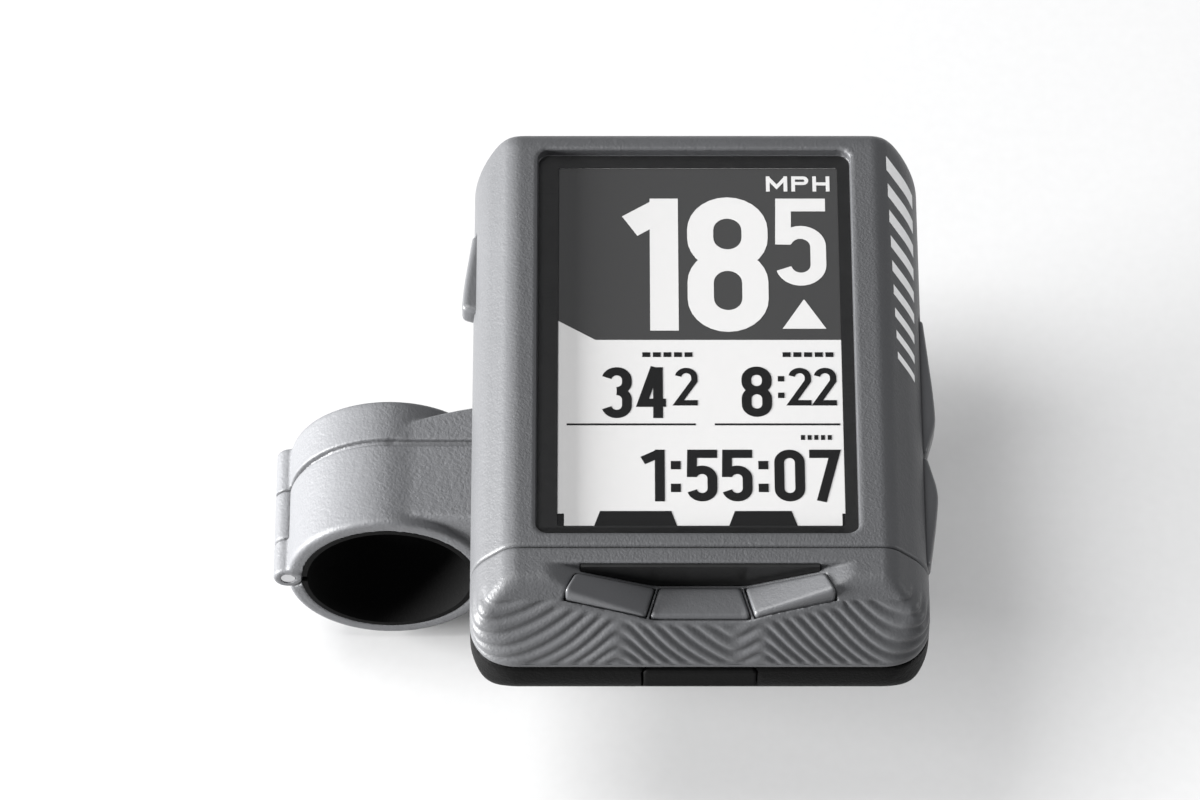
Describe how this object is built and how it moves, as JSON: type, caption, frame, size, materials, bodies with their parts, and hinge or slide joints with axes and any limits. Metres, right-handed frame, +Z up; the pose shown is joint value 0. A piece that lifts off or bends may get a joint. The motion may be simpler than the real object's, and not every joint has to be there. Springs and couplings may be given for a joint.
{
  "type": "cycling computer",
  "caption": "Handlebar cycling computer with a reflective display, side buttons and chin keys, on a hinged bar clamp with a quarter-turn socket.",
  "frame": {"origin": "on the bar's axis, at the middle of the clamp's width along the bar", "axes": "+Y forwards along the bar, +Z up through the display, +X from the bar towards the computer"},
  "size_m": [0.0888, 0.0799, 0.0464],
  "materials": {
    "bezel_plastic": "satin",
    "shell_black": "matte",
    "black_gloss": "gloss",
    "window_glass": "gloss",
    "liquid_crystal": "satin",
    "white_plastic": "matte",
    "flex_film": "satin",
    "board_green": "satin",
    "chip_black": "matte",
    "antenna_ceramic": "matte",
    "battery_foil": "satin",
    "foam": "matte",
    "rubber": "matte",
    "key_grey": "satin",
    "clamp_grey": "satin",
    "brass": "satin",
    "steel": "brushed"
  },
  "bodies": {
    "mount": {"mount_arm": "clamp_grey", "socket_ring": "shell_black", "socket_screws": "steel", "detent_spring": "steel", "upper_liner": "rubber", "hinge_pin": "steel", "clamp_nut": "steel"},
    "computer": {"front_bezel": "bezel_plastic", "chin_cap": "bezel_plastic", "key_frame": "black_gloss", "display_window": "window_glass", "window_mask": "black_gloss", "lcd_panel": "liquid_crystal", "light_guide": "white_plastic", "lcd_carrier": "white_plastic", "lcd_flex": "flex_film", "main_board": "board_green", "board_chips": "chip_black", "radio_shield": "steel", "gps_antenna": "antenna_ceramic", "buzzer": "brass", "side_switches": "steel", "key_switches": "steel", "battery": "battery_foil", "battery_pad": "foam", "usb_socket": "steel", "housing_seal": "rubber", "rear_shell": "shell_black", "case_screws": "steel", "vent_membrane": "white_plastic", "twist_puck": "shell_black", "puck_screws": "steel"},
    "left_key": {"left_key": "key_grey"},
    "center_key": {"center_key": "key_grey"},
    "right_key": {"right_key": "key_grey"},
    "upper_button": {"upper_button": "key_grey"},
    "lower_button": {"lower_button": "key_grey"},
    "power_button": {"power_button": "key_grey"},
    "port_cover": {"port_cover": "rubber"},
    "jaw": {"clamp_jaw": "clamp_grey", "lower_liner": "rubber"},
    "screw": {"clamp_screw": "steel"}
  },
  "joints": [
    {"name": "quarter_turn", "type": "hinge", "parent": "mount", "child": "computer", "pos_m": [0.0415, 0.00225, 0.0146], "axis": [0, 0, 1], "range_deg": [0, 90]},
    {"name": "left_key_press", "type": "slide", "parent": "computer", "child": "left_key", "axis": [0, 0, -1], "range_m": [0, 0.0006], "stiffness_N_per_m": 2500, "springref_m": -0.0002},
    {"name": "center_key_press", "type": "slide", "parent": "computer", "child": "center_key", "axis": [0, 0, -1], "range_m": [0, 0.0006], "stiffness_N_per_m": 2500, "springref_m": -0.0002},
    {"name": "right_key_press", "type": "slide", "parent": "computer", "child": "right_key", "axis": [0, 0, -1], "range_m": [0, 0.0006], "stiffness_N_per_m": 2500, "springref_m": -0.0002},
    {"name": "upper_button_press", "type": "slide", "parent": "computer", "child": "upper_button", "axis": [-1, 0, 0], "range_m": [0, 0.0007], "stiffness_N_per_m": 2500, "springref_m": -0.0002},
    {"name": "lower_button_press", "type": "slide", "parent": "computer", "child": "lower_button", "axis": [-1, 0, 0], "range_m": [0, 0.0007], "stiffness_N_per_m": 2500, "springref_m": -0.0002},
    {"name": "power_button_press", "type": "slide", "parent": "computer", "child": "power_button", "axis": [1, 0, 0], "range_m": [0, 0.0007], "stiffness_N_per_m": 2500, "springref_m": -0.0002},
    {"name": "port_cover_hinge", "type": "hinge", "parent": "computer", "child": "port_cover", "pos_m": [0.0415, -0.0373, 0.018], "axis": [1, 0, 0], "range_deg": [0, 95]},
    {"name": "jaw_hinge", "type": "hinge", "parent": "mount", "child": "jaw", "pos_m": [-0.0137, 0, 0], "axis": [0, 1, 0], "range_deg": [0, 4.9]},
    {"name": "screw_slide", "type": "slide", "parent": "mount", "child": "screw", "axis": [0, 0, -1], "range_m": [0, 0.003]}
  ],
  "couplings": [
    {"joint": "jaw_hinge", "follows": "screw_slide", "rad_per_m": 28.5}
  ]
}
